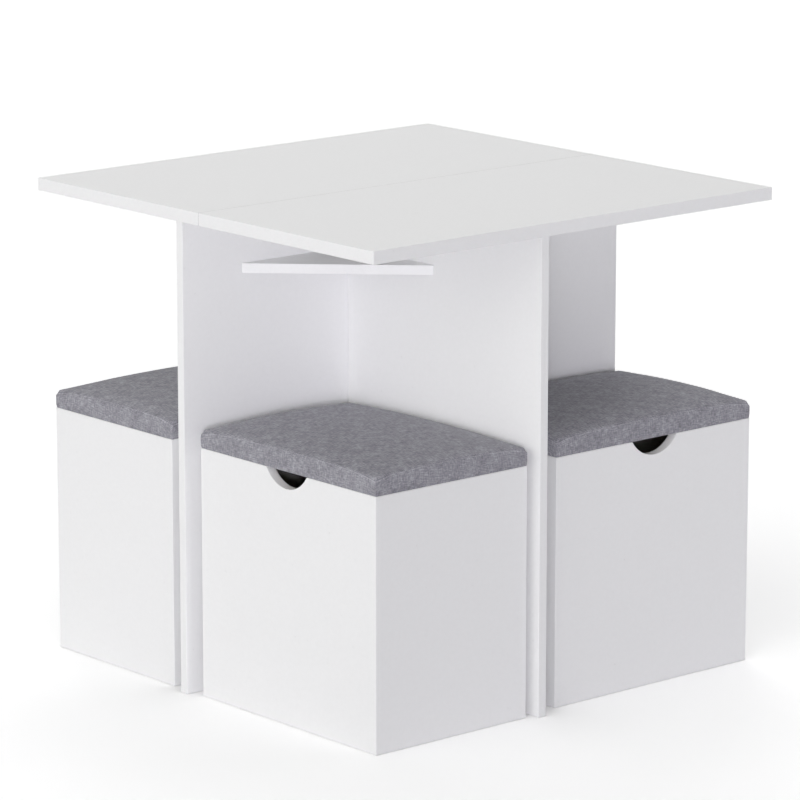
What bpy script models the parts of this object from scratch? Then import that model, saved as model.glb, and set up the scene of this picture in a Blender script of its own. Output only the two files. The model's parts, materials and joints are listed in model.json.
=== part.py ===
"""Square dining table on a pinwheel base, with four storage stools tucked into its bays.

The top is two boards butted along a seam. Under it stand four identical leg panels, each
of which butts on the face of the next, so that they turn about the centre like a pinwheel
and close a square tube there. A triangular brace ties each pair of panels. Between each
pair stands a box stool with a lift-off upholstered lid and a finger notch in its outer board.

Metres, +Z up. The origin is on the floor under the middle of the top. The front bay opens
towards -Y, and the other bays follow by quarter turns about +Z.
"""

import math

import bmesh
import bpy
from mathutils import Matrix, Vector

# Fits shared by every piece
CONTACT_GAP = 0.0003
CUT_OVERRUN = 0.001
ARRIS = 0.0004
MERGE_DISTANCE = 0.00001

# Table top: two boards with the seam along Y
TABLE_HEIGHT = 0.755
TOP_SIDE = 0.800
TOP_THICKNESS = 0.0196

# Leg panels: outer face to the middle of the table, and the step back from the top's edge
PANEL_THICKNESS = 0.015
CORE_HALF = 0.0672
PANEL_SETBACK = 0.0105

# Corner braces
BRACE_OWN_LEG = 0.209
BRACE_NEXT_LEG = 0.202
BRACE_TIP = 0.002
BRACE_DROP = 0.0795

# Stool boxes
STOOL_WIDTH = 0.4065
STOOL_DEPTH = 0.2945
STOOL_HEIGHT = 0.3885
STOOL_BOARD = 0.015
STOOL_BOTTOM = 0.003
STOOL_BOTTOM_RISE = 0.012
GROOVE_DEPTH = 0.005
NOTCH_RADIUS = 0.055
NOTCH_DEPTH = 0.026

# How far each stool stands from the leg panel beside it and from the one behind it
FRONT_STOOL_SIDE_GAP = 0.0225
FRONT_STOOL_BACK_GAP = 0.0143
RIGHT_STOOL_SIDE_GAP = 0.0380
RIGHT_STOOL_BACK_GAP = 0.0057
REAR_STOOL_SIDE_GAP = 0.0275
REAR_STOOL_BACK_GAP = 0.0175
LEFT_STOOL_SIDE_GAP = 0.0223
LEFT_STOOL_BACK_GAP = 0.0325

# Lids
LID_BOARD = 0.012
LID_INSET = 0.0035
FABRIC = 0.0015
FABRIC_RETURN = 0.014
LOCATOR_THICKNESS = 0.012
LOCATOR_CLEARANCE = 0.002
LOCATOR_HOLLOW_RADIUS = 0.100
LOCATOR_HOLLOW_DEPTH = 0.050

# Seat pads: height at the corners, swell over it at mid edge and at the middle
PAD_CORNER_HEIGHT = 0.027
PAD_EDGE_SWELL = 0.005
PAD_MIDDLE_SWELL = 0.016
PAD_SHOULDER = 0.008
PAD_FOOT = 0.005
PAD_TUCK = 0.0015

# Wooden dowels, each glued in the edge of one board and let into the other
DOWEL_DIAMETER = 0.008
DOWEL_IN_FACE = 0.010
DOWEL_IN_SEAM = 0.015
DOWEL_ROOT = 0.002
DOWEL_END_PLAY = 0.001

# Cam fittings between the top and the leg panels
CAM_DIAMETER = 0.015
CAM_HEIGHT = 0.012
CAM_FROM_EDGE = 0.034
CAM_SLOT_WIDTH = 0.002
CAM_SLOT_DEPTH = 0.002
CAM_SLOT_LENGTH = 0.010
BOLT_THREAD_LENGTH = 0.011
BOLT_SHANK_DIAMETER = 0.006
BOLT_NECK_DIAMETER = 0.0035
BOLT_NECK_LENGTH = 0.005
BOLT_HEAD_LENGTH = 0.003

# Connecting screws from each leg panel into the end of the next
SCREW_LENGTH = 0.048
SCREW_HEAD_DIAMETER = 0.010
SCREW_HEAD_LENGTH = 0.003
SCREW_SHOULDER_DIAMETER = 0.007
SCREW_SHOULDER_LENGTH = 0.009
SCREW_THREAD_DIAMETER = 0.005
SCREW_POINT_LENGTH = 0.003
SOCKET_WIDTH = 0.004
SOCKET_DEPTH = 0.0025

# Where the fittings lie, as shares of the half side, panel height, brace leg or stool height
TOP_CAM_SHARES = (0.50,)
TOP_DOWEL_SHARES = (-0.075, 0.30, 0.85)
SEAM_DOWEL_SHARES = (-0.75, -0.25, 0.25, 0.75)
SCREW_HEIGHT_SHARES = (0.07, 0.94)
END_DOWEL_SHARES = (0.35, 0.65)
OWN_LEG_DOWEL_SHARES = (0.25, 0.75)
NEXT_LEG_DOWEL_SHARES = (0.20, 0.60)
STOOL_DOWEL_SHARES = (0.15, 0.50, 0.85)
PAD_LOOP_SHARES = (-0.5, 0.0, 0.5)

# Facets of the round pieces
DOWEL_SIDES = 8
FITTING_SIDES = 12
CAM_SIDES = 16
SOCKET_SIDES = 6
NOTCH_SIDES = 64
SMOOTH_ANGLE = 40

# Sizes worked out from those above
UNDERSIDE = TABLE_HEIGHT - TOP_THICKNESS
HALF_TOP = TOP_SIDE / 2
CORE_INNER = CORE_HALF - PANEL_THICKNESS
PANEL_MIDDLE = CORE_HALF - PANEL_THICKNESS / 2
PANEL_TOP = UNDERSIDE - CONTACT_GAP
PANEL_OUTER_END = HALF_TOP - PANEL_SETBACK
PANEL_INNER_END = CORE_INNER - CONTACT_GAP
BRACE_TOP = UNDERSIDE - BRACE_DROP
BRACE_MIDDLE = BRACE_TOP - PANEL_THICKNESS / 2
DOWEL_RADIUS = DOWEL_DIAMETER / 2
CAM_CENTRE = UNDERSIDE - CAM_FROM_EDGE
STOOL_HALF_WIDTH = STOOL_WIDTH / 2
STOOL_HALF_DEPTH = STOOL_DEPTH / 2
STOOL_INNER_WIDTH = STOOL_HALF_WIDTH - STOOL_BOARD
STOOL_INNER_DEPTH = STOOL_HALF_DEPTH - STOOL_BOARD
PAD_BASE = CONTACT_GAP
LID_BOARD_BASE = PAD_BASE + FABRIC + CONTACT_GAP
LID_BOARD_TOP = LID_BOARD_BASE + LID_BOARD

BAYS = ("front", "right", "rear", "left")
STOOL_GAPS = {
    "front": (FRONT_STOOL_SIDE_GAP, FRONT_STOOL_BACK_GAP),
    "right": (RIGHT_STOOL_SIDE_GAP, RIGHT_STOOL_BACK_GAP),
    "rear": (REAR_STOOL_SIDE_GAP, REAR_STOOL_BACK_GAP),
    "left": (LEFT_STOOL_SIDE_GAP, LEFT_STOOL_BACK_GAP),
}

WHITE_LAMINATE = ("white_laminate", (0.83, 0.83, 0.83), 0.42, 0.0)
GREY_FABRIC = ("grey_woven_fabric", (0.25, 0.25, 0.28), 0.92, 0.0)
RAW_BOARD = ("raw_chipboard", (0.52, 0.40, 0.27), 0.80, 0.0)
HARDBOARD = ("white_hardboard", (0.78, 0.78, 0.77), 0.55, 0.0)
ZINC = ("zinc", (0.62, 0.63, 0.64), 0.35, 1.0)
STEEL = ("plated_steel", (0.70, 0.69, 0.66), 0.30, 1.0)


def clear_scene():
    """Remove every object that the scene holds at the start."""
    for item in list(bpy.data.objects):
        bpy.data.objects.remove(item, do_unlink=True)


def new_collection(name):
    """Add a collection to the scene."""
    collection = bpy.data.collections.new(name)
    bpy.context.scene.collection.children.link(collection)
    return collection


def finish(recipe):
    """The material of a recipe (name, colour, roughness, metallic), made once."""
    name, colour, roughness, metallic = recipe
    found = bpy.data.materials.get(name)
    if found:
        return found
    made = bpy.data.materials.new(name)
    made.use_nodes = True
    shader = made.node_tree.nodes["Principled BSDF"]
    shader.inputs["Base Color"].default_value = (*colour, 1.0)
    shader.inputs["Roughness"].default_value = roughness
    shader.inputs["Metallic"].default_value = metallic
    made.diffuse_color = (*colour, 1.0)
    return made


def new_object(name, mesh, collection, parent=None):
    """Put a mesh in the scene as an object under its parent."""
    made = bpy.data.objects.new(name, mesh)
    collection.objects.link(made)
    made.parent = parent
    return made


def empty(name, parent, location, turn=0.0):
    """A frame that pieces hang from."""
    made = new_object(name, None, PARTS, parent)
    made.location = location
    made.rotation_euler = (0, 0, turn)
    return made


def mesh_from(work, name):
    """Turn an edited mesh into mesh data and free it."""
    mesh = bpy.data.meshes.new(name)
    work.to_mesh(mesh)
    work.free()
    return mesh


def add_box(work, low, high):
    """Add a box between two corners."""
    low = Vector(low)
    high = Vector(high)
    size = Matrix.Diagonal((*(high - low), 1))
    bmesh.ops.create_cube(work, size=1, matrix=Matrix.Translation((low + high) / 2) @ size)


def add_rod(work, start, end, radius, sides=DOWEL_SIDES):
    """Add a capped cylinder between two points."""
    start = Vector(start)
    end = Vector(end)
    axis = end - start
    turn = axis.to_track_quat("Z", "Y").to_matrix().to_4x4()
    place = Matrix.Translation((start + end) / 2) @ turn
    bmesh.ops.create_cone(
        work,
        cap_ends=True,
        segments=sides,
        radius1=radius,
        radius2=radius,
        depth=axis.length,
        matrix=place,
    )


def board(name, low, high, parent, recipe=WHITE_LAMINATE):
    """A rectangular board with its arrises taken off."""
    centre = (Vector(low) + Vector(high)) / 2
    work = bmesh.new()
    add_box(work, Vector(low) - centre, Vector(high) - centre)
    made = new_object(name, mesh_from(work, name), PARTS, parent)
    made.location = centre
    made.data.materials.append(finish(recipe))
    soften(made)
    return made


def soften(piece):
    """Take the arrises off a board."""
    bevel = piece.modifiers.new("arris", "BEVEL")
    bevel.width = ARRIS
    bevel.segments = 1
    bevel.limit_method = "ANGLE"


def helper(name, parent, fill):
    """A hidden body that fill() builds, to be taken from a piece or joined to it."""
    made = new_object(name, bpy.data.meshes.new(name), CUTTERS, parent)
    made.hide_render = True
    made.display_type = "WIRE"
    work = bmesh.new()
    fill(work)
    work.to_mesh(made.data)
    work.free()
    return made


def cut(piece, name, fill):
    """Cut a piece with the body that fill() builds in the frame of the piece's parent."""
    tool = helper(name, piece.parent, fill)
    boolean = piece.modifiers.new(name, "BOOLEAN")
    boolean.operation = "DIFFERENCE"
    boolean.solver = "EXACT"
    boolean.object = tool


def join(piece, name, fill):
    """Join to a piece the body that fill() builds in the frame of the piece's parent."""
    tool = helper(name, piece.parent, fill)
    boolean = piece.modifiers.new(name, "BOOLEAN")
    boolean.operation = "UNION"
    boolean.solver = "EXACT"
    boolean.object = tool


def evaluated_mesh(piece):
    """The mesh of a piece with its modifiers applied; the piece itself is removed."""
    bpy.context.view_layer.update()
    graph = bpy.context.evaluated_depsgraph_get()
    mesh = bpy.data.meshes.new_from_object(piece.evaluated_get(graph))
    bpy.data.objects.remove(piece, do_unlink=True)
    return mesh


def turned(name, profile):
    """A turned blank about +Z from points (radius, height) that run down its outer side."""
    mesh = bpy.data.meshes.new(name)
    points = [(radius, 0, height) for radius, height in profile]
    edges = [(index, index + 1) for index in range(len(points) - 1)]
    mesh.from_pydata(points, edges, [])
    blank = new_object(name, mesh, CUTTERS)
    screw = blank.modifiers.new("turn", "SCREW")
    screw.steps = FITTING_SIDES
    screw.render_steps = FITTING_SIDES
    screw.use_merge_vertices = True
    screw.merge_threshold = MERGE_DISTANCE
    return blank


def fitting(name, mesh, place, parent, recipe):
    """One copy of a fitting, at its place in the frame of its parent."""
    made = new_object(name, mesh, PARTS, parent)
    made.matrix_local = place
    if not mesh.materials:
        mesh.materials.append(finish(recipe))
        mesh.shade_smooth()
        mesh.set_sharp_from_angle(angle=math.radians(SMOOTH_ANGLE))
    return made


def along(axis):
    """The turn that lays +Z along an axis."""
    return Vector(axis).to_track_quat("Z", "Y").to_matrix().to_4x4()


# Places of the fittings and dowels, in the frame of the front bay


def top_cam_reaches():
    """Where the cam fittings stand along a leg panel, from the middle of the table."""
    return [-share * HALF_TOP for share in TOP_CAM_SHARES]


def top_dowel_reaches():
    """Where the dowels between a leg panel and the top stand along the panel."""
    return [-share * HALF_TOP for share in TOP_DOWEL_SHARES]


def screw_heights():
    """Heights of the connecting screws."""
    return [share * PANEL_TOP for share in SCREW_HEIGHT_SHARES]


def end_dowel_heights():
    """Heights of the dowels in a leg panel's inner end."""
    return [share * PANEL_TOP for share in END_DOWEL_SHARES]


def own_leg_reaches():
    """Where a brace's dowels enter the panel that stands in the brace's bay, along Y."""
    return [-CORE_HALF - share * BRACE_OWN_LEG for share in OWN_LEG_DOWEL_SHARES]


def next_leg_reaches():
    """Where a brace's dowels enter the next panel, along X."""
    return [-CORE_INNER + share * BRACE_NEXT_LEG for share in NEXT_LEG_DOWEL_SHARES]


def seam_reaches():
    """Where the dowels across the top's seam lie along Y."""
    return [share * HALF_TOP for share in SEAM_DOWEL_SHARES]


def stool_dowel_heights():
    """Heights of the dowels in a stool's upright joints."""
    return [share * STOOL_HEIGHT for share in STOOL_DOWEL_SHARES]


def blind(work, mouth, inward, depth, radius, sides=DOWEL_SIDES):
    """A blind hole's cutter: from just outside its mouth to its depth."""
    mouth = Vector(mouth)
    inward = Vector(inward)
    add_rod(work, mouth - inward * CUT_OVERRUN, mouth + inward * depth, radius, sides)


def dowel_hole(work, mouth, inward, depth):
    """A dowel's hole, a little deeper than the dowel reaches."""
    blind(work, mouth, inward, depth + DOWEL_END_PLAY, DOWEL_RADIUS + CONTACT_GAP)


def dowel(work, seat, outward, reach):
    """A dowel glued in the board that carries it, standing out of the seat by its reach."""
    seat = Vector(seat)
    outward = Vector(outward)
    add_rod(work, seat - outward * DOWEL_ROOT, seat + outward * reach, DOWEL_RADIUS)


# Table


def build_top_boards():
    """The two halves of the top, bored from below; dowels in the left one cross the seam."""
    half_gap = CONTACT_GAP / 2
    seam_height = UNDERSIDE + TOP_THICKNESS / 2

    def seam_dowels(work):
        for reach in seam_reaches():
            dowel(work, (-half_gap, reach, seam_height), (1, 0, 0), DOWEL_IN_SEAM)

    def seam_holes(work):
        for reach in seam_reaches():
            dowel_hole(work, (half_gap, reach, seam_height), (1, 0, 0), DOWEL_IN_SEAM)

    for name, side in (("left_top_board", -1), ("right_top_board", 1)):
        edges = sorted((side * half_gap, side * HALF_TOP))
        made = board(name, (edges[0], -HALF_TOP, UNDERSIDE), (edges[1], HALF_TOP, TABLE_HEIGHT), None)

        def bores(work, side=side):
            for index in range(len(BAYS)):
                turn = Matrix.Rotation(index * math.pi / 2, 4, "Z")
                for reach in top_dowel_reaches():
                    mouth = turn @ Vector((-PANEL_MIDDLE, reach, UNDERSIDE))
                    if mouth.x * side > 0:
                        dowel_hole(work, mouth, (0, 0, 1), DOWEL_IN_FACE)
                for reach in top_cam_reaches():
                    mouth = turn @ Vector((-PANEL_MIDDLE, reach, UNDERSIDE))
                    if mouth.x * side > 0:
                        depth = BOLT_THREAD_LENGTH + CONTACT_GAP
                        radius = BOLT_SHANK_DIAMETER / 2 + CONTACT_GAP
                        blind(work, mouth, (0, 0, 1), depth, radius, FITTING_SIDES)

        cut(made, name + "_bores", bores)
        if side < 0:
            join(made, name + "_dowels", seam_dowels)
        else:
            cut(made, name + "_seam_holes", seam_holes)


def build_leg_panel(bay, parent):
    """One leg panel: its inner end butts on the panel before it, its dowels enter that and the top."""
    outer_face = -CORE_HALF
    inner_face = -CORE_INNER
    made = board(
        bay + "_leg_panel",
        (outer_face, -PANEL_OUTER_END, 0),
        (inner_face, PANEL_INNER_END, PANEL_TOP),
        parent,
    )

    def dowels(work):
        for reach in top_dowel_reaches():
            dowel(work, (-PANEL_MIDDLE, reach, PANEL_TOP), (0, 0, 1), DOWEL_IN_FACE)
        for height in end_dowel_heights():
            dowel(work, (-PANEL_MIDDLE, PANEL_INNER_END, height), (0, 1, 0), DOWEL_IN_FACE)

    def bores(work):
        for height in end_dowel_heights():
            dowel_hole(work, (inner_face, -PANEL_MIDDLE, height), (-1, 0, 0), DOWEL_IN_FACE)
        for height in screw_heights():
            head = (outer_face, -PANEL_MIDDLE, height)
            radius = SCREW_HEAD_DIAMETER / 2 + CONTACT_GAP
            blind(work, head, (1, 0, 0), SCREW_HEAD_LENGTH + CONTACT_GAP, radius, FITTING_SIDES)
            pilot = (-PANEL_MIDDLE, PANEL_INNER_END, height)
            radius = SCREW_THREAD_DIAMETER / 2 + CONTACT_GAP
            blind(work, pilot, (0, -1, 0), SCREW_LENGTH - PANEL_THICKNESS, radius, FITTING_SIDES)
        for reach in own_leg_reaches():
            dowel_hole(work, (inner_face, reach, BRACE_MIDDLE), (-1, 0, 0), DOWEL_IN_FACE)
        for reach in next_leg_reaches():
            dowel_hole(work, (outer_face, -reach, BRACE_MIDDLE), (1, 0, 0), DOWEL_IN_FACE)
        for reach in top_cam_reaches():
            mouth = (inner_face, reach, CAM_CENTRE)
            radius = CAM_DIAMETER / 2 + CONTACT_GAP
            blind(work, mouth, (-1, 0, 0), CAM_HEIGHT + CONTACT_GAP, radius, CAM_SIDES)

    def ways_through(work):
        for height in screw_heights():
            radius = SCREW_SHOULDER_DIAMETER / 2 + CONTACT_GAP
            start = (outer_face - CUT_OVERRUN, -PANEL_MIDDLE, height)
            end = (inner_face + CUT_OVERRUN, -PANEL_MIDDLE, height)
            add_rod(work, start, end, radius, FITTING_SIDES)
        for reach in top_cam_reaches():
            mouth = (-PANEL_MIDDLE, reach, PANEL_TOP)
            radius = BOLT_SHANK_DIAMETER / 2 + CONTACT_GAP
            blind(work, mouth, (0, 0, -1), CAM_FROM_EDGE, radius, FITTING_SIDES)

    join(made, bay + "_panel_dowels", dowels)
    cut(made, bay + "_panel_bores", bores)
    cut(made, bay + "_panel_ways", ways_through)


def outline_body(name, points, thickness, parent):
    """A flat white board from its outline, its lower face on the plane of the outline."""
    curve = bpy.data.curves.new(name, "CURVE")
    curve.dimensions = "2D"
    curve.fill_mode = "BOTH"
    curve.extrude = thickness / 2
    spline = curve.splines.new("POLY")
    spline.points.add(len(points) - 1)
    for point, place in zip(spline.points, points):
        point.co = (*place, 0, 1)
    spline.use_cyclic_u = True
    mesh = evaluated_mesh(new_object(name, curve, PARTS))
    work = bmesh.new()
    work.from_mesh(mesh)
    bmesh.ops.remove_doubles(work, verts=work.verts, dist=MERGE_DISTANCE)
    bmesh.ops.translate(work, verts=work.verts, vec=(0, 0, thickness / 2))
    made = new_object(name, mesh_from(work, name), PARTS, parent)
    made.data.materials.append(finish(WHITE_LAMINATE))
    return made


def build_brace(bay, parent):
    """The triangular brace of one bay, in the corner between two leg panels."""
    corner_x = -CORE_INNER + CONTACT_GAP
    corner_y = -CORE_HALF - CONTACT_GAP
    far_x = -CORE_INNER + BRACE_NEXT_LEG
    far_y = -CORE_HALF - BRACE_OWN_LEG
    outline = (
        (corner_x, corner_y),
        (corner_x, far_y),
        (corner_x + BRACE_TIP, far_y),
        (far_x, corner_y - BRACE_TIP),
        (far_x, corner_y),
    )
    made = outline_body(bay + "_brace", outline, PANEL_THICKNESS, parent)
    made.location = (0, 0, BRACE_TOP - PANEL_THICKNESS)
    soften(made)

    def dowels(work):
        for reach in own_leg_reaches():
            dowel(work, (corner_x, reach, BRACE_MIDDLE), (-1, 0, 0), DOWEL_IN_FACE)
        for reach in next_leg_reaches():
            dowel(work, (reach, corner_y, BRACE_MIDDLE), (0, 1, 0), DOWEL_IN_FACE)

    join(made, bay + "_brace_dowels", dowels)


def cam_drum():
    """A cam drum about +Z: its driver slot on top, and the way in for the bolt's head at -X."""
    work = bmesh.new()
    add_rod(work, (0, 0, 0), (0, 0, CAM_HEIGHT), CAM_DIAMETER / 2, CAM_SIDES)
    drum = new_object("cam_drum", mesh_from(work, "cam_drum"), CUTTERS)

    def slot(work):
        corner = Vector((CAM_SLOT_WIDTH / 2, CAM_SLOT_LENGTH / 2, CAM_SLOT_DEPTH))
        middle = Vector((0, 0, CAM_HEIGHT))
        add_box(work, middle - corner, middle + corner)

    def way(work):
        height = CAM_HEIGHT - PANEL_THICKNESS / 2
        inner_end = (BOLT_HEAD_LENGTH / 2 + CONTACT_GAP, 0, height)
        mouth = (-CAM_DIAMETER / 2 - CUT_OVERRUN, 0, height)
        radius = BOLT_SHANK_DIAMETER / 2 + CONTACT_GAP
        add_rod(work, inner_end, mouth, radius, FITTING_SIDES)

    cut(drum, "cam_slot", slot)
    cut(drum, "cam_way", way)
    return evaluated_mesh(drum)


def cam_bolt():
    """A cam bolt about +Z: its thread stands over the origin, its shank, neck and head below."""
    radius = BOLT_SHANK_DIAMETER / 2
    neck = BOLT_NECK_DIAMETER / 2
    head_base = -CAM_FROM_EDGE - BOLT_HEAD_LENGTH / 2
    head_top = head_base + BOLT_HEAD_LENGTH
    neck_top = head_top + BOLT_NECK_LENGTH
    profile = (
        (0, BOLT_THREAD_LENGTH),
        (radius, BOLT_THREAD_LENGTH),
        (radius, neck_top),
        (neck, neck_top),
        (neck, head_top),
        (radius, head_top),
        (radius, head_base),
        (0, head_base),
    )
    return evaluated_mesh(turned("cam_bolt", profile))


def frame_screw():
    """A connecting screw about +Z, the top of its head at the origin, with a six-sided socket."""
    head = SCREW_HEAD_DIAMETER / 2
    shoulder = SCREW_SHOULDER_DIAMETER / 2
    thread = SCREW_THREAD_DIAMETER / 2
    shoulder_end = -SCREW_HEAD_LENGTH - SCREW_SHOULDER_LENGTH
    profile = (
        (0, 0),
        (head, 0),
        (head, -SCREW_HEAD_LENGTH),
        (shoulder, -SCREW_HEAD_LENGTH),
        (shoulder, shoulder_end),
        (thread, shoulder_end),
        (thread, -SCREW_LENGTH + SCREW_POINT_LENGTH),
        (0, -SCREW_LENGTH),
    )
    blank = turned("frame_screw", profile)

    def socket(work):
        add_rod(work, (0, 0, -SOCKET_DEPTH), (0, 0, CUT_OVERRUN), SOCKET_WIDTH / 2, SOCKET_SIDES)

    cut(blank, "socket", socket)
    return evaluated_mesh(blank)


def build_fittings(frames):
    """Cam drums and bolts under the top, and the screws from each leg panel into the next."""
    drum = cam_drum()
    bolt = cam_bolt()
    screw = frame_screw()
    for bay in BAYS:
        frame = frames[bay]
        for number, reach in enumerate(top_cam_reaches(), 1):
            seat = Matrix.Translation((-CORE_INNER - CAM_HEIGHT, reach, CAM_CENTRE))
            place = seat @ Matrix.Rotation(math.pi / 2, 4, "Y")
            fitting(f"{bay}_cam_drum_{number}", drum, place, frame, ZINC)
            place = Matrix.Translation((-PANEL_MIDDLE, reach, UNDERSIDE))
            fitting(f"{bay}_cam_bolt_{number}", bolt, place, frame, STEEL)
        for number, height in enumerate(screw_heights(), 1):
            place = Matrix.Translation((-CORE_HALF, -PANEL_MIDDLE, height)) @ along((-1, 0, 0))
            fitting(f"{bay}_frame_screw_{number}", screw, place, frame, STEEL)


# Stools, each in a frame on the floor under the middle of its box, its notch towards -Y


def groove(work, half_x, half_y):
    """The cutter of the groove that holds a stool's bottom, past the walls' inner faces."""
    low = STOOL_BOTTOM_RISE - CONTACT_GAP
    high = STOOL_BOTTOM_RISE + STOOL_BOTTOM + CONTACT_GAP
    add_box(work, (-half_x, -half_y, low), (half_x, half_y, high))


def build_stool_ends(bay, parent):
    """The boards across a stool's width: the outer one has the finger notch."""
    reach_x = STOOL_INNER_WIDTH + GROOVE_DEPTH
    reach_y = STOOL_INNER_DEPTH + GROOVE_DEPTH
    across = STOOL_INNER_WIDTH + STOOL_BOARD / 2
    for name, side in (("front_board", -1), ("back_board", 1)):
        faces = sorted((side * STOOL_HALF_DEPTH, side * STOOL_INNER_DEPTH))
        made = board(
            bay + "_stool_" + name,
            (-STOOL_HALF_WIDTH, faces[0], 0),
            (STOOL_HALF_WIDTH, faces[1], STOOL_HEIGHT),
            parent,
        )

        def bores(work, side=side):
            groove(work, reach_x, reach_y)
            for height in stool_dowel_heights():
                for hand in (-1, 1):
                    mouth = (hand * across, side * STOOL_INNER_DEPTH, height)
                    dowel_hole(work, mouth, (0, side, 0), DOWEL_IN_FACE)

        cut(made, made.name + "_bores", bores)
        if side < 0:
            cut(made, made.name + "_notch", finger_notch)


def finger_notch(work):
    """The cutter of the finger notch: a round bar across the top edge of the outer board."""
    height = STOOL_HEIGHT + NOTCH_RADIUS - NOTCH_DEPTH
    start = (0, -STOOL_HALF_DEPTH - CUT_OVERRUN, height)
    add_rod(work, start, (0, -STOOL_INNER_DEPTH + CUT_OVERRUN, height), NOTCH_RADIUS, NOTCH_SIDES)


def build_stool_sides(bay, parent):
    """The boards between a stool's front and back, with dowels in their ends."""
    reach_x = STOOL_INNER_WIDTH + GROOVE_DEPTH
    end = STOOL_INNER_DEPTH - CONTACT_GAP
    across = STOOL_INNER_WIDTH + STOOL_BOARD / 2
    for name, hand in (("left_board", -1), ("right_board", 1)):
        faces = sorted((hand * STOOL_HALF_WIDTH, hand * STOOL_INNER_WIDTH))
        made = board(
            bay + "_stool_" + name,
            (faces[0], -end, 0),
            (faces[1], end, STOOL_HEIGHT),
            parent,
        )

        def dowels(work, hand=hand):
            for height in stool_dowel_heights():
                for side in (-1, 1):
                    dowel(work, (hand * across, side * end, height), (0, side, 0), DOWEL_IN_FACE)

        def slot(work):
            groove(work, reach_x, STOOL_HALF_DEPTH)

        cut(made, made.name + "_groove", slot)
        join(made, made.name + "_dowels", dowels)


def build_stool_bottom(bay, parent):
    """The thin bottom, let into the grooves of all four walls."""
    half_x = STOOL_INNER_WIDTH + GROOVE_DEPTH - CONTACT_GAP
    half_y = STOOL_INNER_DEPTH + GROOVE_DEPTH - CONTACT_GAP
    high = STOOL_BOTTOM_RISE + STOOL_BOTTOM
    board(
        bay + "_stool_bottom",
        (-half_x, -half_y, STOOL_BOTTOM_RISE),
        (half_x, half_y, high),
        parent,
        HARDBOARD,
    )


# Lids, each in a frame at the middle of its box's rim


def build_lid_board(bay, parent):
    """The board inside a lid."""
    half_x = STOOL_HALF_WIDTH - LID_INSET
    half_y = STOOL_HALF_DEPTH - LID_INSET
    board(
        bay + "_lid_board",
        (-half_x, -half_y, LID_BOARD_BASE),
        (half_x, half_y, LID_BOARD_TOP),
        parent,
        RAW_BOARD,
    )


def build_lid_locator(bay, parent):
    """The board under a lid that keeps it centred in the box, hollowed behind the notch."""
    half_x = STOOL_INNER_WIDTH - LOCATOR_CLEARANCE
    half_y = STOOL_INNER_DEPTH - LOCATOR_CLEARANCE
    high = LID_BOARD_BASE - CONTACT_GAP
    low = high - LOCATOR_THICKNESS
    made = board(
        bay + "_lid_locator",
        (-half_x, -half_y, low),
        (half_x, half_y, high),
        parent,
        RAW_BOARD,
    )

    def hollow(work):
        middle_y = -half_y + LOCATOR_HOLLOW_DEPTH - LOCATOR_HOLLOW_RADIUS
        start = (0, middle_y, low - CUT_OVERRUN)
        add_rod(work, start, (0, middle_y, high + CUT_OVERRUN), LOCATOR_HOLLOW_RADIUS, NOTCH_SIDES)

    cut(made, made.name + "_hollow", hollow)


def pad_height(across, along_depth):
    """Height of a pad's top over its base, from the places in shares of the half sizes."""
    swell_x = 1 - across ** 2
    swell_y = 1 - along_depth ** 2
    edges = PAD_EDGE_SWELL * (swell_x + swell_y - 2 * swell_x * swell_y)
    return PAD_CORNER_HEIGHT + edges + PAD_MIDDLE_SWELL * swell_x * swell_y


def pad_cage():
    """A pad's coarse cage: a box with loops near its edges, crowned, its foot drawn in."""
    half = Vector((STOOL_HALF_WIDTH, STOOL_HALF_DEPTH))
    work = bmesh.new()
    add_box(work, (-half.x, -half.y, 0), (half.x, half.y, PAD_CORNER_HEIGHT))
    for axis in (0, 1):
        edge_loop = half[axis] - PAD_SHOULDER
        loops = [-edge_loop, edge_loop]
        loops += [share * half[axis] for share in PAD_LOOP_SHARES]
        normal = Vector((1 - axis, axis, 0))
        for place in loops:
            everything = work.verts[:] + work.edges[:] + work.faces[:]
            bmesh.ops.bisect_plane(work, geom=everything, plane_co=normal * place, plane_no=normal)
    for height in (PAD_FOOT, PAD_CORNER_HEIGHT - PAD_SHOULDER):
        everything = work.verts[:] + work.edges[:] + work.faces[:]
        bmesh.ops.bisect_plane(work, geom=everything, plane_co=(0, 0, height), plane_no=(0, 0, 1))
    for vertex in work.verts:
        place = vertex.co
        top = pad_height(place.x / half.x, place.y / half.y)
        if place.z > PAD_FOOT + MERGE_DISTANCE:
            place.z += top - PAD_CORNER_HEIGHT
        if place.z < MERGE_DISTANCE:
            place.x *= 1 - PAD_TUCK / half.x
            place.y *= 1 - PAD_TUCK / half.y
    return work


def build_seat_pad(bay, parent):
    """A lid's foam and fabric in one body, wrapped over and under the lid board."""
    name = bay + "_seat_pad"
    made = new_object(name, mesh_from(pad_cage(), name), PARTS, parent)
    made.location = (0, 0, PAD_BASE)
    made.data.materials.append(finish(GREY_FABRIC))
    made.data.shade_smooth()
    smooth = made.modifiers.new("soft", "SUBSURF")
    smooth.levels = 1
    smooth.render_levels = 1
    pocket_x = STOOL_HALF_WIDTH - LID_INSET + CONTACT_GAP
    pocket_y = STOOL_HALF_DEPTH - LID_INSET + CONTACT_GAP

    def pocket(work):
        low = PAD_BASE + FABRIC
        high = LID_BOARD_TOP + CONTACT_GAP
        add_box(work, (-pocket_x, -pocket_y, low), (pocket_x, pocket_y, high))

    def opening(work):
        half_x = STOOL_HALF_WIDTH - FABRIC_RETURN
        half_y = STOOL_HALF_DEPTH - FABRIC_RETURN
        middle = LID_BOARD_BASE + LID_BOARD / 2
        add_box(work, (-half_x, -half_y, -CUT_OVERRUN), (half_x, half_y, middle))

    cut(made, name + "_pocket", pocket)
    cut(made, name + "_opening", opening)


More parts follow.
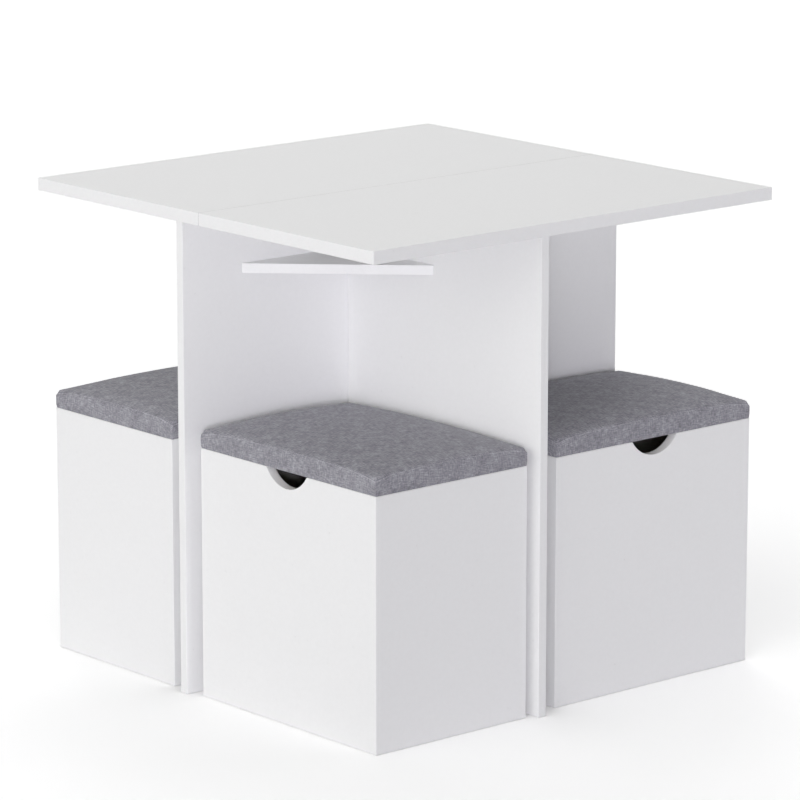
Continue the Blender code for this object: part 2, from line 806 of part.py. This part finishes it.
def build_stool(bay, bay_frame):
    """A whole stool with its lid, where it stands in its bay."""
    side_gap, back_gap = STOOL_GAPS[bay]
    middle_x = -CORE_INNER + side_gap + STOOL_HALF_WIDTH
    middle_y = -CORE_HALF - back_gap - STOOL_HALF_DEPTH
    stool = empty(bay + "_stool", bay_frame, (middle_x, middle_y, 0))
    build_stool_ends(bay, stool)
    build_stool_sides(bay, stool)
    build_stool_bottom(bay, stool)
    lid = empty(bay + "_lid", stool, (0, 0, STOOL_HEIGHT))
    build_lid_board(bay, lid)
    build_lid_locator(bay, lid)
    build_seat_pad(bay, lid)


def build_table(frames):
    """The table: top, leg panels, braces and the fittings that hold them together."""
    build_top_boards()
    for bay in BAYS:
        build_leg_panel(bay, frames[bay])
        build_brace(bay, frames[bay])
    build_fittings(frames)


def build():
    """Build the whole set."""
    frames = {}
    for index, bay in enumerate(BAYS):
        frames[bay] = empty(bay + "_bay", None, (0, 0, 0), index * math.pi / 2)
    build_table(frames)
    for bay in BAYS:
        build_stool(bay, frames[bay])


clear_scene()
PARTS = new_collection("dining_table_and_stools")
CUTTERS = new_collection("cutters")
build()
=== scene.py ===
import json
import math

import bmesh
import bpy
from mathutils import Matrix, Vector


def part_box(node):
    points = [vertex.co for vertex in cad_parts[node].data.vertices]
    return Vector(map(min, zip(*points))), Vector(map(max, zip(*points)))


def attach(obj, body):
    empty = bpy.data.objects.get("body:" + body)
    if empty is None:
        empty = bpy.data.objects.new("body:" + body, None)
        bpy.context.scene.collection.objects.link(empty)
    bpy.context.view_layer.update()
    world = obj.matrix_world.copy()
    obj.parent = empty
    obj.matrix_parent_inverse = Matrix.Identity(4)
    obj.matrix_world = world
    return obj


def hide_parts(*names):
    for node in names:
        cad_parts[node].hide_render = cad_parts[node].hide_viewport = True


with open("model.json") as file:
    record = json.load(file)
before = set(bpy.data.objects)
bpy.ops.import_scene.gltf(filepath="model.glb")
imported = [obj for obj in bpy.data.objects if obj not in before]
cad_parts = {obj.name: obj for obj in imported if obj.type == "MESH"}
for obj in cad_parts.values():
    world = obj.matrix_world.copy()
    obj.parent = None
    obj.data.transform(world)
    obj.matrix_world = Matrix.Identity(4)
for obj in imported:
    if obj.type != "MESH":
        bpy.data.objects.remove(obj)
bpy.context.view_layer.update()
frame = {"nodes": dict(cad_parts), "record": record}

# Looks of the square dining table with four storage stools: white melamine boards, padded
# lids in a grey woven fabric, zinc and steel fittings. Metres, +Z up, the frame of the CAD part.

MM = 0.001

# The four bays of the base, each with its turn from the front one
BAY_TURNS = {
    bay: Matrix.Rotation(index * math.pi / 2, 4, "Z")
    for index, bay in enumerate(("front", "right", "rear", "left"))
}

# Foam of a seat pad: heights over its foot, the rounding of its rim, and a spare below the foot
CORNER_HEIGHT = 28 * MM
EDGE_SWELL = 5 * MM
MIDDLE_SWELL = 13.5 * MM
SHOULDER = 6.5 * MM
FOOT_SPARE = 8 * MM
GRID_STEP = 9 * MM

# Cover of a seat pad as it swells in the cloth simulation: its foot is held up to HELD_HEIGHT, and
# it may move EDGE_TRAVEL at its edge and MIDDLE_TRAVEL from FIRM_EDGE inwards
REMESH_VOXEL = 4 * MM
COVER_PRESSURE = 4.0
COVER_FRAMES = 20
HELD_HEIGHT = 4 * MM
EDGE_TRAVEL = 1.0 * MM
MIDDLE_TRAVEL = 3.0 * MM
FIRM_EDGE = 45 * MM

# Cover of a seat pad: its shoulder seam, its foot, and its return under the lid board
OVERHANG = 1.0 * MM
SEAM_DROP = 2.0 * MM
SEAM_CORNER_DROP = 5.0 * MM
SEAM_DENT = 0.5 * MM
SEAM_REACH = 3.0 * MM
FOOT_TUCK = 1.6 * MM
TUCK_HEIGHT = 9 * MM
FABRIC_THICKNESS = 1.5 * MM
FABRIC_RETURN = 14 * MM
POCKET_CLEARANCE = 0.3 * MM

# Folds of the cover that are sharper than this are shaded as edges
SHARP_FOLD = math.radians(50)

# Yarns of the cover, from dark to pale, with the level of the weave at which each stands
YARN_TONES = ((0.26, "#67666D"), (0.46, "#8E8D94"), (0.54, "#9B9AA1"), (0.74, "#C6C5CC"))

# White wax that closes the stools' butt joints
JOINT_GAP = 0.3 * MM
WAX_WIDTH = 1.2 * MM
WAX_DEPTH = 0.6 * MM

# Seam of the top, drawn as painted shade: how wide it shows and how deep its grey goes, and how far
# the grey strip of painted shade under it is sunk
TOP_SEAM = 1.0 * MM
SEAM_SKIN = 0.2 * MM
SHADE_STRIP_SINK = 0.3 * MM

# Camera: the photograph's own, found from the corners of the table and stools; its angles are
# in radians, its lens and sensor in millimetres
CAMERA_PLACE = (5.2211, -4.5016, 1.9690)
CAMERA_PITCH = 0.2221
CAMERA_TURN = 0.8599
CAMERA_LENS = 204.83
SENSOR = 36.0

# Lamps: name, azimuth from which the light comes, elevation, spread, all three in degrees,
# strength, colour
LAMPS = (
    ("front_softbox", 0.0, 5.0, 70.0, 1.26, "#FEFFF9"),
    ("low_front_fill", 50.0, 3.0, 16.0, 0.86, "#F8F6FF"),
    ("small_front_fill", 50.0, 8.0, 8.0, 0.63, "#F8F6FF"),
    ("right_front_softbox", 45.0, 50.0, 50.0, 0.61, "#FFFFFF"),
    ("left_front_softbox", -30.0, 30.0, 50.0, 0.20, "#FFFFFF"),
    ("left_rear_softbox", -120.0, 30.0, 40.0, 0.88, "#FFFFFF"),
    ("high_rear_softbox", 180.0, 50.0, 50.0, 0.43, "#FFFFFF"),
    ("overhead_softbox", 0.0, 90.0, 60.0, 0.20, "#FFFFFF"),
)

# Floor: half its side, its place just under the boards' feet, the strength of its glow in the
# camera's eye, and how far off the object that glow is still dimmed as a painted contact shadow
FLOOR_REACH = 30.0
FLOOR_HEIGHT = -0.5 * MM
FLOOR_LIFT = 0.45
SHADOW_REACH = 1.0


def linear(code):
    """The linear colour of an sRGB hex code."""
    values = []
    for start in (1, 3, 5):
        share = int(code[start:start + 2], 16) / 255
        low = share / 12.92
        high = ((share + 0.055) / 1.055) ** 2.4
        values.append(low if share <= 0.04045 else high)
    return (*values, 1.0)


def add_node(tree, kind, settings=None, inputs=None):
    """Add a node with its settings; each input gets a value or another node's output."""
    made = tree.nodes.new(kind)
    for key, value in (settings or {}).items():
        if key == "stops":
            elements = made.color_ramp.elements
            while len(elements) < len(value):
                elements.new(0.5)
            for element, (place, code) in zip(elements, value):
                element.position = place
                element.color = linear(code)
        else:
            setattr(made, key, value)
    for key, value in (inputs or {}).items():
        if isinstance(value, bpy.types.NodeSocket):
            tree.links.new(value, made.inputs[key])
        else:
            made.inputs[key].default_value = value
    return made


def new_material(name):
    """A material with its tree and its shader."""
    made = bpy.data.materials.new(name)
    made.use_nodes = True
    tree = made.node_tree
    return made, tree, tree.nodes["Principled BSDF"]


def finish_surface(tree, shader, tone, height, depth, strength):
    """Join a colour and a relief of the given depth to a shader."""
    relief = add_node(
        tree,
        "ShaderNodeBump",
        inputs={"Height": height, "Distance": depth, "Strength": strength},
    )
    tree.links.new(tone, shader.inputs["Base Color"])
    tree.links.new(relief.outputs["Normal"], shader.inputs["Normal"])


def white_melamine():
    """Melamine-faced chipboard: a hard white paper skin pressed against a finely pearled plate.

    It gives an even white without grain, whose sheen is blurred by the pearl.
    """
    made, tree, shader = new_material("white_melamine")
    place = add_node(tree, "ShaderNodeTexCoord").outputs["Object"]
    # The press plate's pearl is about 0.3 mm; it is drawn at 1.2 mm so that it shows at all
    pearl = add_node(
        tree,
        "ShaderNodeTexNoise",
        inputs={"Vector": place, "Scale": 1 / (1.2 * MM), "Detail": 2.0},
    )
    # The paper's own fibres give the white a faint cloud at 6 mm
    cloud = add_node(
        tree,
        "ShaderNodeTexNoise",
        inputs={"Vector": place, "Scale": 1 / (6 * MM), "Detail": 2.0},
    )
    # Where the top's two boards meet, a fine grey line is painted as the shade of their seam
    parts = add_node(tree, "ShaderNodeSeparateXYZ", inputs={"Vector": place}).outputs
    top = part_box("left_top_board")[1].z
    near = []
    for axis, middle, reach in (("X", 0.0, TOP_SEAM / 2), ("Z", top, SEAM_SKIN)):
        near.append(
            add_node(
                tree,
                "ShaderNodeMath",
                {"operation": "COMPARE"},
                {0: parts[axis], 1: middle, 2: reach},
            ).outputs["Value"]
        )
    seam = add_node(tree, "ShaderNodeMath", {"operation": "MULTIPLY"}, {0: near[0], 1: near[1]})
    shade = add_node(
        tree,
        "ShaderNodeMath",
        {"operation": "SUBTRACT"},
        {0: cloud.outputs["Fac"], 1: seam.outputs["Value"]},
    )
    # Only the seam reaches the first, grey stop: that grey is the seam's painted shade
    tone = add_node(
        tree,
        "ShaderNodeValToRGB",
        {"stops": ((0.0, "#D2D2D2"), (0.25, "#F6F6F6"), (0.7, "#F8F8F8"))},
        {"Fac": shade.outputs["Value"]},
    )
    finish_surface(
        tree,
        shader,
        tone.outputs["Color"],
        pearl.outputs["Fac"],
        depth=0.02 * MM,
        strength=0.25,
    )
    shader.inputs["Roughness"].default_value = 0.62
    shader.inputs["IOR"].default_value = 1.5
    return made


def raw_chipboard():
    """Uncoated chipboard: pressed wood flakes of 2 to 5 mm.

    They give a matt speckle of pale and dark browns with open pores.
    """
    made, tree, shader = new_material("raw_chipboard")
    place = add_node(tree, "ShaderNodeTexCoord").outputs["Object"]
    flakes = add_node(
        tree,
        "ShaderNodeTexVoronoi",
        inputs={"Vector": place, "Scale": 1 / (3.5 * MM), "Randomness": 1.0},
    )
    # Each flake has its own random colour, and one channel of it picks the flake's brown
    pick = add_node(
        tree,
        "ShaderNodeSeparateColor",
        inputs={"Color": flakes.outputs["Color"]},
    )
    wood = ((0.0, "#8F7048"), (0.25, "#B08E5F"), (0.7, "#C6A878"), (1.0, "#D8C096"))
    tone = add_node(
        tree,
        "ShaderNodeValToRGB",
        {"stops": wood},
        {"Fac": pick.outputs["Red"]},
    )
    finish_surface(
        tree,
        shader,
        tone.outputs["Color"],
        flakes.outputs["Distance"],
        depth=0.15 * MM,
        strength=0.5,
    )
    shader.inputs["Roughness"].default_value = 0.85
    return made


def fine_skin(name, tones, grain, depth, strength):
    """A plain surface with a fine grain of its own, in two close tones."""
    made, tree, shader = new_material(name)
    place = add_node(tree, "ShaderNodeTexCoord").outputs["Object"]
    skin = add_node(
        tree,
        "ShaderNodeTexNoise",
        inputs={"Vector": place, "Scale": 1 / grain, "Detail": 3.0},
    ).outputs["Fac"]
    tone = add_node(
        tree,
        "ShaderNodeValToRGB",
        {"stops": ((0.3, tones[0]), (0.7, tones[1]))},
        {"Fac": skin},
    )
    finish_surface(tree, shader, tone.outputs["Color"], skin, depth, strength)
    return made, shader


def white_hardboard():
    """Hardboard lacquered white: smooth and a little greyer than the boards, with the faint
    fibres of the press at 2 mm."""
    tones = ("#DEDDDA", "#E4E3E1")
    made, shader = fine_skin("white_hardboard", tones, 2.0 * MM, depth=0.05 * MM, strength=0.3)
    shader.inputs["Roughness"].default_value = 0.5
    return made


def fitting_metal(name, tones, roughness, grain):
    """A grey metal whose fine grain, from its die or its plating bath, blurs what it mirrors."""
    made, shader = fine_skin(name, tones, grain, depth=0.02 * MM, strength=0.3)
    shader.inputs["Metallic"].default_value = 1.0
    shader.inputs["Roughness"].default_value = roughness
    return made


def seam_shade_grey():
    """A dull grey film with small bubbles, put in the top's seam as painted shade."""
    tones = ("#8E8E8E", "#A2A2A2")
    made, shader = fine_skin("seam_shade_grey", tones, 1.5 * MM, depth=0.1 * MM, strength=0.5)
    shader.inputs["Roughness"].default_value = 0.6
    return made


def melange_weave():
    """Polyester upholstery cloth in a plain weave of dark and pale melange yarns.

    It gives a matt grey with short slubby streaks both ways and a faint mottle.
    """
    made, tree, shader = new_material("grey_melange_weave")
    cloth = add_node(tree, "ShaderNodeUVMap", {"uv_map": "cloth"}).outputs["UV"]
    # Yarns lie 0.8 mm apart; they are drawn 1.5 mm apart so that single ones show
    yarn = 1 / (1.5 * MM)
    # Along its length a yarn keeps its tone for about 9 mm
    slub = 1 / (9 * MM)
    # The shift keeps the streaks of one direction from mirroring those of the other
    shift = (yarn, slub, 0.0)
    streaks = []
    for across in ((yarn, slub, 1.0), (slub, yarn, 1.0)):
        grid = add_node(
            tree,
            "ShaderNodeMapping",
            inputs={"Vector": cloth, "Scale": across, "Location": shift},
        ).outputs["Vector"]
        streak = add_node(
            tree,
            "ShaderNodeTexNoise",
            inputs={"Vector": grid, "Scale": 1.0, "Detail": 2.0, "Roughness": 0.55},
        )
        streaks.append(streak.outputs["Fac"])
    woven = add_node(tree, "ShaderNodeMath", {"operation": "ADD"}, {0: streaks[0], 1: streaks[1]})
    # The yarns were dyed before weaving, so the cloth is faintly mottled, mostly at 6 to 22 mm
    mottle = add_node(
        tree,
        "ShaderNodeTexNoise",
        inputs={"Vector": cloth, "Scale": 1 / (22 * MM), "Detail": 2.5, "Roughness": 0.7},
    )
    mottle_weight = 0.6
    uneven = add_node(
        tree,
        "ShaderNodeMath",
        {"operation": "MULTIPLY_ADD"},
        {0: mottle.outputs["Fac"], 1: mottle_weight, 2: woven.outputs["Value"]},
    )
    # The sum is brought to a middle of about 0.5, where the yarns' tones are spread
    contrast = 0.52
    offset = -0.155
    level = add_node(
        tree,
        "ShaderNodeMath",
        {"operation": "MULTIPLY_ADD"},
        {0: uneven.outputs["Value"], 1: contrast, 2: offset},
    )
    # The shoulder seam: a groove above it and a ridge below it, each 1.2 mm wide, in relief and in
    # colour: the groove is painted darker as shade and the ridge paler as a painted highlight
    seam = add_node(tree, "ShaderNodeUVMap", {"uv_map": "seam"}).outputs["UV"]
    past = add_node(tree, "ShaderNodeSeparateXYZ", inputs={"Vector": seam}).outputs["X"]
    half_width = 0.6 * MM
    bands = []
    for middle in (-0.9 * MM, 0.6 * MM):
        bands.append(
            add_node(
                tree,
                "ShaderNodeMath",
                {"operation": "COMPARE"},
                {0: past, 1: middle, 2: half_width},
            ).outputs["Value"]
        )
    shaded_groove, lit_ridge = bands
    fold_relief_and_light = add_node(tree, "ShaderNodeMath", {"operation": "SUBTRACT"}, {0: lit_ridge, 1: shaded_groove})
    fold_height_and_light = 0.08
    seamed_and_lit = add_node(
        tree,
        "ShaderNodeMath",
        {"operation": "MULTIPLY_ADD"},
        {0: fold_relief_and_light.outputs["Value"], 1: fold_height_and_light, 2: level.outputs["Value"]},
    ).outputs["Value"]
    tone = add_node(tree, "ShaderNodeValToRGB", {"stops": YARN_TONES}, {"Fac": seamed_and_lit})
    finish_surface(tree, shader, tone.outputs["Color"], seamed_and_lit, depth=0.4 * MM, strength=0.5)
    shader.inputs["Roughness"].default_value = 1.0
    return made


def new_mesh(name, work):
    """The mesh of a finished bmesh, which is freed."""
    mesh = bpy.data.meshes.new(name)
    work.to_mesh(mesh)
    work.free()
    return mesh


def new_piece(name, data):
    """Put a mesh, a lamp or a camera in the scene at the origin."""
    made = bpy.data.objects.new(name, data)
    bpy.context.scene.collection.objects.link(made)
    return made


def finished_mesh(piece):
    """The mesh of a piece with its modifiers applied, and the piece gone."""
    bpy.context.view_layer.update()
    graph = bpy.context.evaluated_depsgraph_get()
    mesh = bpy.data.meshes.new_from_object(piece.evaluated_get(graph))
    bpy.data.objects.remove(piece, do_unlink=True)
    return mesh


def add_block(work, low, high):
    """Add a block between its low and its high corner."""
    size = Matrix.Diagonal((*(high - low), 1))
    bmesh.ops.create_cube(work, size=1, matrix=Matrix.Translation((low + high) / 2) @ size)


def cut_with(piece, name, boxes):
    """Cut boxes, given by their low and high corners, out of a piece."""
    cutters = []
    for number, (low, high) in enumerate(boxes, 1):
        work = bmesh.new()
        add_block(work, low, high)
        cutter = new_piece(f"{name}_{number}", new_mesh(name, work))
        boolean = piece.modifiers.new(cutter.name, "BOOLEAN")
        boolean.operation = "DIFFERENCE"
        boolean.solver = "EXACT"
        boolean.object = cutter
        cutters.append(cutter)
    mesh = finished_mesh(piece)
    for cutter in cutters:
        bpy.data.objects.remove(cutter, do_unlink=True)
    return mesh


def foam_height(across, along):
    """How high the foam stands over its foot at places in shares of its half sizes."""
    swell_x = 1 - across ** 2
    swell_y = 1 - along ** 2
    edges = EDGE_SWELL * (swell_x + swell_y - 2 * swell_x * swell_y)
    return CORNER_HEIGHT + edges + MIDDLE_SWELL * swell_x * swell_y


def foam_block(half):
    """The foam under a pad's cover: a crowned block that runs on below the foot, on a fine grid."""
    work = bmesh.new()
    deep = CORNER_HEIGHT + FOOT_SPARE
    size = Matrix.Diagonal((2 * half.x, 2 * half.y, deep, 1))
    middle = Matrix.Translation((0, 0, CORNER_HEIGHT - deep / 2))
    bmesh.ops.create_cube(work, size=1, matrix=middle @ size)
    for axis, reach in ((0, half.x), (1, half.y)):
        normal = Vector((1 - axis, axis, 0))
        steps = round(2 * reach / GRID_STEP)
        for step in range(1, steps):
            place = normal * (2 * reach * step / steps - reach)
            everything = work.verts[:] + work.edges[:] + work.faces[:]
            bmesh.ops.bisect_plane(work, geom=everything, plane_co=place, plane_no=normal)
    rim = [
        edge
        for edge in work.edges
        if edge.calc_face_angle() > math.radians(45) and min(end.co.z for end in edge.verts) > 0
    ]
    bmesh.ops.bevel(
        work,
        geom=rim,
        offset=SHOULDER,
        segments=4,
        profile=0.5,
        affect="EDGES",
        material=-1,
    )
    for vertex in work.verts:
        if vertex.co.z > CORNER_HEIGHT / 2:
            swell = foam_height(vertex.co.x / half.x, vertex.co.y / half.y) - CORNER_HEIGHT
            vertex.co.z += swell
    return new_mesh("foam_block", work)


def travel_at(place, half):
    """How far the cover may move: little near the edge, where it is drawn tight over the board."""
    inset = min(half.x - abs(place.x), half.y - abs(place.y))
    share = min(max(inset / FIRM_EDGE, 0.0), 1.0)
    eased = share * share * (3 - 2 * share)
    return EDGE_TRAVEL + (MIDDLE_TRAVEL - EDGE_TRAVEL) * eased


def draw_cover(block, half):
    """Let the cover swell over the foam; its foot is held by the lid board."""
    block.modifiers.new("skin", "REMESH").voxel_size = REMESH_VOXEL
    skin = finished_mesh(block)
    cover = new_piece("cover", skin)
    rest = [vertex.co.copy() for vertex in skin.vertices]
    held = cover.vertex_groups.new(name="held")
    held.add([index for index, place in enumerate(rest) if place.z < HELD_HEIGHT], 1.0, "REPLACE")
    cloth = cover.modifiers.new("swell", "CLOTH")
    cloth.settings.vertex_group_mass = "held"
    cloth.settings.use_pressure = True
    cloth.settings.uniform_pressure_force = COVER_PRESSURE
    cloth.settings.effector_weights.gravity = 0
    cloth.point_cache.frame_start = 1
    cloth.point_cache.frame_end = COVER_FRAMES
    scene = bpy.context.scene
    for number in range(1, COVER_FRAMES + 1):
        scene.frame_set(number)
    mesh = finished_mesh(cover)
    scene.frame_set(1)
    for vertex, start in zip(mesh.vertices, rest):
        shift = vertex.co - start
        most = travel_at(start, half)
        if shift.length > most:
            vertex.co = start + shift * (most / shift.length)
    return mesh


def past_seam(place, normal, half):
    """How far a place of the cover lies outwards and down from the shoulder seam."""
    axis = 0 if abs(normal.x) > abs(normal.y) else 1
    if abs(normal[axis]) < abs(normal.z):
        return max(abs(place.x) - half.x, abs(place.y) - half.y)
    along = place[1 - axis] / half[1 - axis]
    # The seam runs level and sinks only close to the corners
    drop = SEAM_DROP + SEAM_CORNER_DROP * along ** 8
    return foam_height(along, 1) - drop - place.z


def shape_cover(mesh, half):
    """Draw the cover in along its shoulder seam, and at its foot where it turns under the board."""
    moves = []
    for vertex in mesh.vertices:
        place = vertex.co
        near = max(1 - abs(past_seam(place, vertex.normal, half)) / SEAM_REACH, 0)
        low = min(max(1 - place.z / TUCK_HEIGHT, 0), 1)
        inwards = Vector((-place.x / half.x, -place.y / half.y, 0))
        moves.append(vertex.normal * (-SEAM_DENT * near ** 2) + inwards * (FOOT_TUCK * low ** 2))
    for vertex, move in zip(mesh.vertices, moves):
        vertex.co += move


def trim_foot(mesh):
    """Cut the cover off level at its foot, where it turns in under the lid board."""
    work = bmesh.new()
    work.from_mesh(mesh)
    everything = work.verts[:] + work.edges[:] + work.faces[:]
    found = bmesh.ops.bisect_plane(
        work,
        geom=everything,
        plane_co=(0, 0, 0),
        plane_no=(0, 0, -1),
        clear_outer=True,
    )
    rim = [item for item in found["geom_cut"] if isinstance(item, bmesh.types.BMEdge)]
    bmesh.ops.edgeloop_fill(work, edges=rim)
    work.to_mesh(mesh)
    work.free()


def cut_pocket(pad, half):
    """Cut the lid board's pocket into a pad, and the opening within the fabric's return below."""
    board_low, board_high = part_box("front_lid_board")
    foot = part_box("front_seat_pad")[0].z
    reach = Vector(((board_high.x - board_low.x) / 2, (board_high.y - board_low.y) / 2, 0))
    clear = Vector((POCKET_CLEARANCE, POCKET_CLEARANCE, POCKET_CLEARANCE))
    low = Vector((-reach.x, -reach.y, board_low.z - foot)) - clear
    high = Vector((reach.x, reach.y, board_high.z - foot)) + clear
    inner = Vector((half.x - FABRIC_RETURN, half.y - FABRIC_RETURN, (low.z + high.z) / 2))
    below = Vector((-inner.x, -inner.y, -FABRIC_THICKNESS))
    return cut_with(pad, "pocket", ((low, high), (below, inner)))


def lay_cloth(mesh, half):
    """Give the cover its cloth coordinates, flat on top and unrolled down its sides, and the
    distance past the shoulder seam."""
    cloth = mesh.uv_layers.new(name="cloth")
    seam = mesh.uv_layers.new(name="seam")
    for face in mesh.polygons:
        normal = face.normal
        axis = 0 if abs(normal.x) > abs(normal.y) else 1
        for index in face.loop_indices:
            place = mesh.vertices[mesh.loops[index].vertex_index].co
            past = past_seam(place, normal, half)
            flat = [place.x, place.y]
            if abs(normal[axis]) > abs(normal.z):
                flat[axis] = math.copysign(half[axis] + past, normal[axis])
            cloth.data[index].uv = flat
            seam.data[index].uv = (past, 0)


def seat_pad(half):
    """A seat pad in its own frame: cover and foam, with the pocket of the lid board below."""
    foam = new_piece("foam", foam_block(half))
    pad = new_piece("pad", draw_cover(foam, half))
    smooth = pad.modifiers.new("smooth", "SUBSURF")
    smooth.levels = 1
    smooth.render_levels = 1
    mesh = finished_mesh(pad)
    shape_cover(mesh, half)
    trim_foot(mesh)
    mesh = cut_pocket(new_piece("pad", mesh), half)
    lay_cloth(mesh, half)
    mesh.shade_smooth()
    mesh.set_sharp_from_angle(angle=SHARP_FOLD)
    return mesh


def build_pads(cloth):
    """One pad on each lid, turned with its bay."""
    low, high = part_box("front_seat_pad")
    half = (high - low) / 2
    pattern = seat_pad(Vector((half.x + OVERHANG, half.y + OVERHANG, 0)))
    pattern.materials.append(cloth)
    for bay, turn in BAY_TURNS.items():
        low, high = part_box(bay + "_seat_pad")
        middle = (low + high) / 2
        mesh = pattern.copy()
        mesh.transform(Matrix.Translation((middle.x, middle.y, low.z)) @ turn)
        pad = new_piece(bay + "_pad_cover", mesh)
        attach(pad, bay + "_lid")
        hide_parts(bay + "_seat_pad")


def close_joints(white):
    """White wax in the butt joints of each stool, level with the boards' faces."""
    for bay, turn in BAY_TURNS.items():
        # The boards' corners, as they lie once turned back to the front bay
        corners = {}
        for name in ("front_board", "back_board"):
            ends = [turn.inverted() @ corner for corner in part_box(f"{bay}_stool_{name}")]
            low = Vector([min(pair) for pair in zip(*ends)])
            high = Vector([max(pair) for pair in zip(*ends)])
            corners[name] = (low, high)
        low, high = corners["front_board"]
        back = corners["back_board"][0].y
        work = bmesh.new()
        for joint in (high.y + JOINT_GAP / 2, back - JOINT_GAP / 2):
            for left in (low.x, high.x - WAX_DEPTH):
                start = Vector((left, joint - WAX_WIDTH / 2, 0))
                end = Vector((left + WAX_DEPTH, joint + WAX_WIDTH / 2, high.z))
                add_block(work, start, end)
        bmesh.ops.transform(work, matrix=turn, verts=work.verts)
        mesh = new_mesh(bay + "_joint_wax", work)
        mesh.materials.append(white)
        wax = new_piece(bay + "_joint_wax", mesh)
        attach(wax, bay + "_stool")


def seam_shade_strip():
    """A dull grey strip that closes the slit between the two boards of the top, just below the
    surface: painted shade of the seam."""
    low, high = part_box("left_top_board")
    inset = Vector((0, SHADE_STRIP_SINK, SHADE_STRIP_SINK))
    start = Vector((-TOP_SEAM / 2, low.y, low.z)) + inset
    end = Vector((TOP_SEAM / 2, high.y, high.z)) - inset
    work = bmesh.new()
    add_block(work, start, end)
    mesh = new_mesh("top_seam_shade_strip", work)
    mesh.materials.append(seam_shade_grey())
    line = new_piece("top_seam_shade_strip", mesh)
    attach(line, "table")


def dress_nodes():
    """Give each CAD node the finish of its real counterpart."""
    finishes = {
        "white_laminate": white_melamine(),
        "raw_board": raw_chipboard(),
        "hardboard": white_hardboard(),
        "zinc": fitting_metal("die_cast_zinc", ("#8F9193", "#A9ABAD"), 0.45, 0.8 * MM),
        "plated_steel": fitting_metal("zinc_plated_steel", ("#A8A9A6", "#C2C2BE"), 0.32, 0.5 * MM),
    }
    for part in frame["record"]["subparts"]:
        node = frame["nodes"][part["node"]]
        if part["material_slot"] in finishes:
            node.data.materials.clear()
            node.data.materials.append(finishes[part["material_slot"]])
    close_joints(finishes["white_laminate"])
    seam_shade_strip()


def studio_floor():
    """A plain white floor that keeps the soft shadow of the object.

    Its white comes from a glow for camera rays, which dies away under and beside the object as a
    painted contact shadow.
    """
    work = bmesh.new()
    place = Matrix.Translation((0, 0, FLOOR_HEIGHT))
    bmesh.ops.create_grid(work, size=FLOOR_REACH, matrix=place)
    mesh = new_mesh("studio_floor", work)
    made = new_piece("studio_floor", mesh)
    paper = bpy.data.materials.new("white_paper")
    paper.use_nodes = True
    tree = paper.node_tree
    tree.nodes.clear()
    matt = add_node(tree, "ShaderNodeBsdfDiffuse", inputs={"Color": linear("#F2F2F2")})
    white = add_node(tree, "ShaderNodeBsdfDiffuse", inputs={"Color": linear("#FFFFFF")})
    # The glow follows how open the floor is around it, so it is painted darker near the object as
    # contact shadow
    open_share = add_node(
        tree,
        "ShaderNodeAmbientOcclusion",
        {"samples": 8},
        {"Distance": SHADOW_REACH},
    ).outputs["AO"]
    lift = add_node(
        tree,
        "ShaderNodeMath",
        {"operation": "MULTIPLY"},
        {0: open_share, 1: FLOOR_LIFT},
    )
    glow = add_node(tree, "ShaderNodeEmission", inputs={"Strength": lift.outputs["Value"]})
    lifted = add_node(
        tree,
        "ShaderNodeAddShader",
        inputs={0: white.outputs["BSDF"], 1: glow.outputs["Emission"]},
    ).outputs["Shader"]
    seen = add_node(tree, "ShaderNodeLightPath").outputs["Is Camera Ray"]
    shown = add_node(
        tree,
        "ShaderNodeMixShader",
        inputs={0: seen, 1: matt.outputs["BSDF"], 2: lifted},
    )
    add_node(tree, "ShaderNodeOutputMaterial", inputs={"Surface": shown.outputs["Shader"]})
    mesh.materials.append(paper)


def studio_light():
    """A world that is white where it is seen or mirrored and lights nothing, and soft lamps."""
    world = bpy.data.worlds.new("studio")
    bpy.context.scene.world = world
    world.use_nodes = True
    tree = world.node_tree
    tree.nodes.clear()
    rays = add_node(tree, "ShaderNodeLightPath").outputs
    seen = rays["Is Camera Ray"]
    for kind in ("Is Glossy Ray", "Is Transmission Ray"):
        seen = add_node(
            tree,
            "ShaderNodeMath",
            {"operation": "MAXIMUM"},
            {0: seen, 1: rays[kind]},
        ).outputs["Value"]
    backdrop = add_node(
        tree,
        "ShaderNodeBackground",
        inputs={"Color": linear("#FFFFFF"), "Strength": seen},
    )
    add_node(tree, "ShaderNodeOutputWorld", inputs={"Surface": backdrop.outputs["Background"]})
    for name, azimuth, elevation, spread, strength, colour in LAMPS:
        data = bpy.data.lights.new(name, "SUN")
        data.energy = strength
        data.color = linear(colour)[:3]
        data.angle = math.radians(spread)
        lamp = new_piece(name, data)
        around = math.radians(azimuth)
        up = math.radians(elevation)
        flat = math.cos(up)
        way = Vector((math.sin(around) * flat, -math.cos(around) * flat, math.sin(up)))
        lamp.rotation_euler = way.to_track_quat("Z", "Y").to_euler()
        # A sun lights the same from anywhere; it stands on its own side so that the set reads well
        lamp.location = way


def camera():
    """The photograph's camera."""
    data = bpy.data.cameras.new("camera")
    data.lens = CAMERA_LENS
    data.sensor_width = SENSOR
    data.clip_end = 100.0
    made = new_piece("camera", data)
    made.location = CAMERA_PLACE
    made.rotation_euler = (math.pi / 2 - CAMERA_PITCH, 0, CAMERA_TURN)
    bpy.context.scene.camera = made


camera()
studio_floor()
studio_light()
dress_nodes()
build_pads(melange_weave())

view = bpy.context.scene.view_settings
view.view_transform = "Standard"
